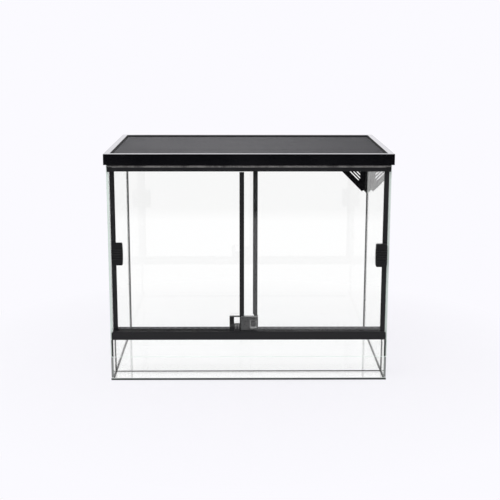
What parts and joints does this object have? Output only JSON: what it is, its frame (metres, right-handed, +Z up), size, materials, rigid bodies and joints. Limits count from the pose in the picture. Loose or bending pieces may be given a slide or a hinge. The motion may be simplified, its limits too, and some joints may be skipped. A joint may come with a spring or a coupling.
{
  "type": "reptile terrarium",
  "caption": "Front-opening glass terrarium with two sliding doors, a two-piece door latch, mesh lift-off lid, vent glass over a recessed lower pane and a louvred corner cable cover.",
  "frame": {"origin": "centre of the flat underside of the base glass, which is where the tank rests", "axes": "+Z up, +X to the right seen from the front, the sliding doors are on the -Y side"},
  "size_m": [0.609, 0.392, 0.4965],
  "materials": {
    "pane_glass": "clear float glass with a faint green edge",
    "door_glass": "clear polished float glass",
    "coated_metal": "black coated perforated aluminium",
    "track_black": "satin black extrusion",
    "moulded_black": "fine textured moulded plastic",
    "silicone_black": "smooth cured black silicone",
    "frame_black": "gloss black painted aluminium",
    "mesh_grey": "fine woven wire, black coated",
    "latch_grey": "satin dark grey moulded plastic"
  },
  "bodies": {
    "tank": {"base_glass": "pane_glass", "left_side_glass": "pane_glass", "right_side_glass": "pane_glass", "back_glass": "pane_glass", "lower_front_glass": "pane_glass", "front_vent_glass": "pane_glass", "vent_strip": "coated_metal", "bottom_track": "track_black", "top_track": "track_black", "top_track_left_cap": "moulded_black", "top_track_right_cap": "moulded_black", "base_front_seal": "silicone_black", "floor_left_seam": "silicone_black", "floor_right_seam": "silicone_black", "floor_back_seam": "silicone_black", "floor_front_seam": "silicone_black", "back_left_seam": "silicone_black", "back_right_seam": "silicone_black", "vent_left_seam": "silicone_black", "vent_right_seam": "silicone_black", "lower_left_seam": "silicone_black", "lower_right_seam": "silicone_black", "cover_inner": "moulded_black", "cover_outer": "moulded_black"},
    "lid": {"lid_front_rail": "frame_black", "lid_back_rail": "frame_black", "lid_left_rail": "frame_black", "lid_right_rail": "frame_black", "lid_mesh": "mesh_grey", "lid_spline": "silicone_black"},
    "front_door": {"front_door_glass": "door_glass", "front_door_outer_profile": "track_black", "front_door_inner_profile": "track_black", "front_door_handle": "moulded_black", "latch_body": "latch_grey"},
    "rear_door": {"rear_door_glass": "door_glass", "rear_door_outer_profile": "track_black", "rear_door_inner_profile": "track_black", "rear_door_handle": "moulded_black", "latch_bar": "latch_grey"},
    "button": {"latch_button": "latch_grey"}
  },
  "joints": [
    {"name": "lid_lift", "type": "slide", "parent": "tank", "child": "lid", "axis": [0, 0, 1], "range_m": [0, 0.06]},
    {"name": "front_door_slide", "type": "slide", "parent": "tank", "child": "front_door", "axis": [-1, 0, 0], "range_m": [0, 0.248]},
    {"name": "rear_door_slide", "type": "slide", "parent": "tank", "child": "rear_door", "axis": [1, 0, 0], "range_m": [0, 0.248]},
    {"name": "latch_button_push", "type": "slide", "parent": "front_door", "child": "button", "axis": [0, 1, 0], "range_m": [0, 0.0015], "stiffness_N_per_m": 400}
  ]
}
